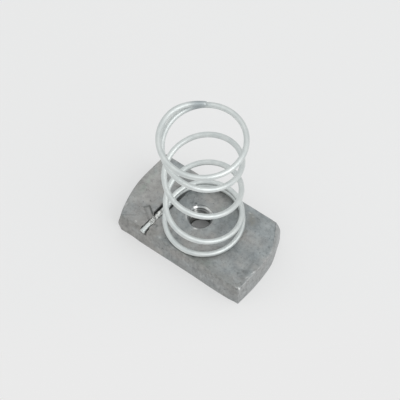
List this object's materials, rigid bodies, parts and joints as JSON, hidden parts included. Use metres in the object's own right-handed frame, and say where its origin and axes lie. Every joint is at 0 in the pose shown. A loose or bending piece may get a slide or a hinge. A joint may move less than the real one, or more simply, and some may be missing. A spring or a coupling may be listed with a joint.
{
  "type": "strut channel spring nut",
  "caption": "Thick steel channel nut plate with rounded ends, a tapped hole off its middle and a closed-end coil spring staked into a groove on one face.",
  "frame": {"origin": "axis of the tapped hole, half way through the plate's thickness", "axes": "+X along the plate, +Y across it, +Z out of the face that carries the spring"},
  "size_m": [0.0354, 0.0197, 0.0453],
  "materials": {
    "plate_steel": "dull bare steel, mottled grey",
    "zinc_wire": "bright zinc-plated spring wire"
  },
  "bodies": {
    "root": {"nut_plate": "plate_steel", "coil_spring": "zinc_wire"}
  },
  "joints": []
}
